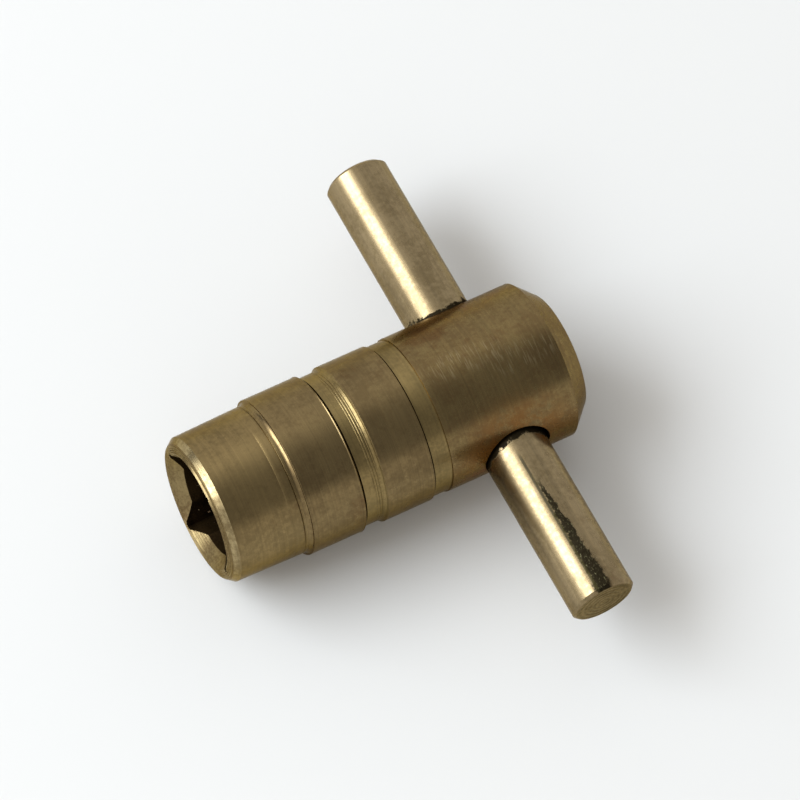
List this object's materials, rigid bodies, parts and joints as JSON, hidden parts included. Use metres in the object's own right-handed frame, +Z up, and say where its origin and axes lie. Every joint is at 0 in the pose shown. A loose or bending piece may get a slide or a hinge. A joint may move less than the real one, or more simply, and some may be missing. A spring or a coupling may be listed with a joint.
{
  "type": "radiator bleed key",
  "caption": "Brass T-handled key with a square socket, for turning the air-vent pin of a radiator.",
  "frame": {"origin": "centre of the socket's mouth, on the body's axis, in the plane of the mouth's flat rim", "axes": "+X along the body from the mouth to the rear end, +Y along the cross bar, +Z up and square to both when the key lies flat"},
  "size_m": [0.0236, 0.0308, 0.0098],
  "materials": {
    "turned_brass": "satin, lathe turned, lightly tarnished",
    "drawn_brass": "smooth drawn bar, semi-bright"
  },
  "bodies": {
    "root": {"key_body": "turned_brass", "cross_bar": "drawn_brass"}
  },
  "joints": []
}
